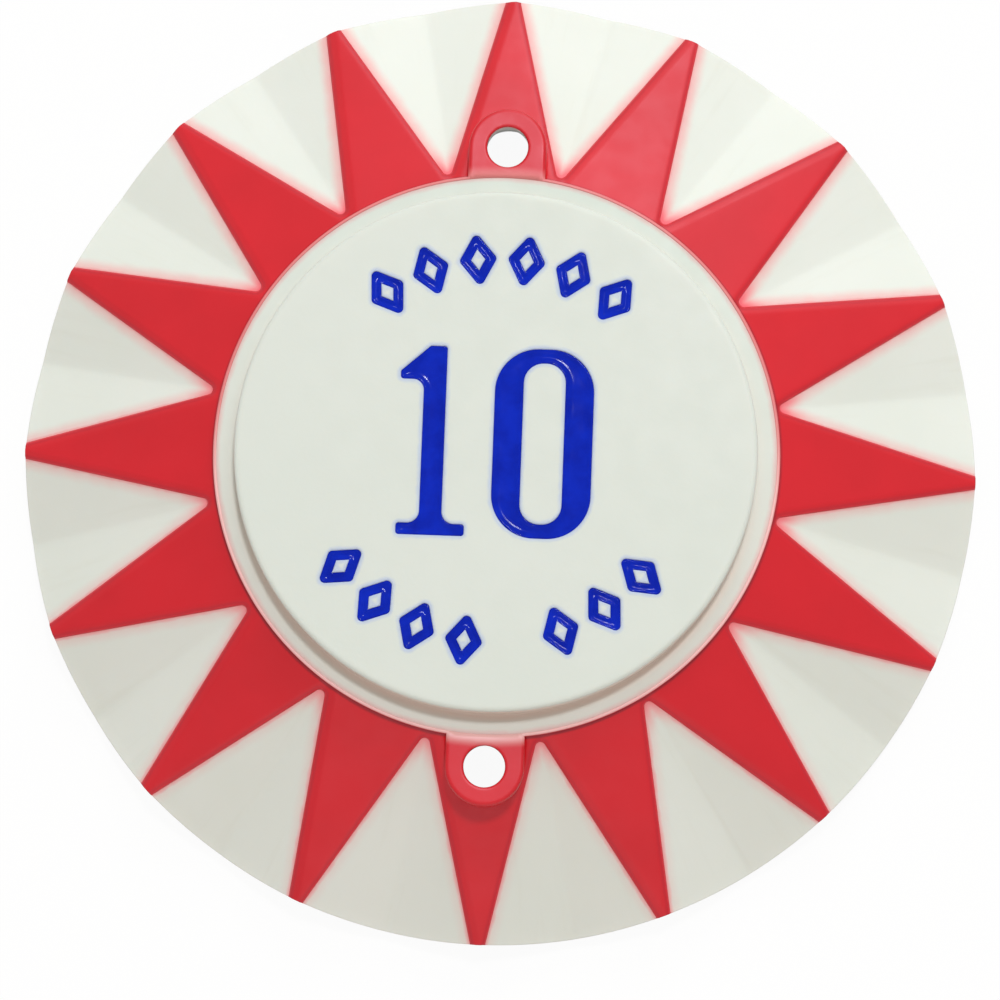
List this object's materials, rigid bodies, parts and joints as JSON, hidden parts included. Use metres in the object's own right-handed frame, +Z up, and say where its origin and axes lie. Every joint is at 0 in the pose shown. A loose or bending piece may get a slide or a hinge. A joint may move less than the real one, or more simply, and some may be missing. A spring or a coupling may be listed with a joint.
{
  "type": "pinball bumper cap",
  "caption": "Round stepped cap with a pleated skirt of painted rays, two screw ears and an engraved numeral disc; it screws down over a pinball bumper's lamp.",
  "frame": {"origin": "middle of the circle that the rim stands on, at the height of the rim's lowest points", "axes": "+Z up out of the cap's face, +Y through a screw hole towards the top of the numerals, +X to the right of the numerals"},
  "size_m": [0.0794, 0.0794, 0.015],
  "materials": {
    "white_styrene": "glossy translucent white moulding",
    "red_paint": "glossy sprayed red lacquer",
    "blue_enamel": "glossy wiped-in blue enamel"
  },
  "bodies": {
    "root": {"cap_shell": "white_styrene", "star_coat": "red_paint", "numeral_1_fill": "blue_enamel", "numeral_0_fill": "blue_enamel", "upper_mark_1_fill": "blue_enamel", "upper_mark_2_fill": "blue_enamel", "upper_mark_3_fill": "blue_enamel", "upper_mark_4_fill": "blue_enamel", "upper_mark_5_fill": "blue_enamel", "upper_mark_6_fill": "blue_enamel", "lower_mark_1_fill": "blue_enamel", "lower_mark_2_fill": "blue_enamel", "lower_mark_3_fill": "blue_enamel", "lower_mark_4_fill": "blue_enamel", "lower_mark_5_fill": "blue_enamel", "lower_mark_6_fill": "blue_enamel", "lower_mark_7_fill": "blue_enamel"}
  },
  "joints": []
}
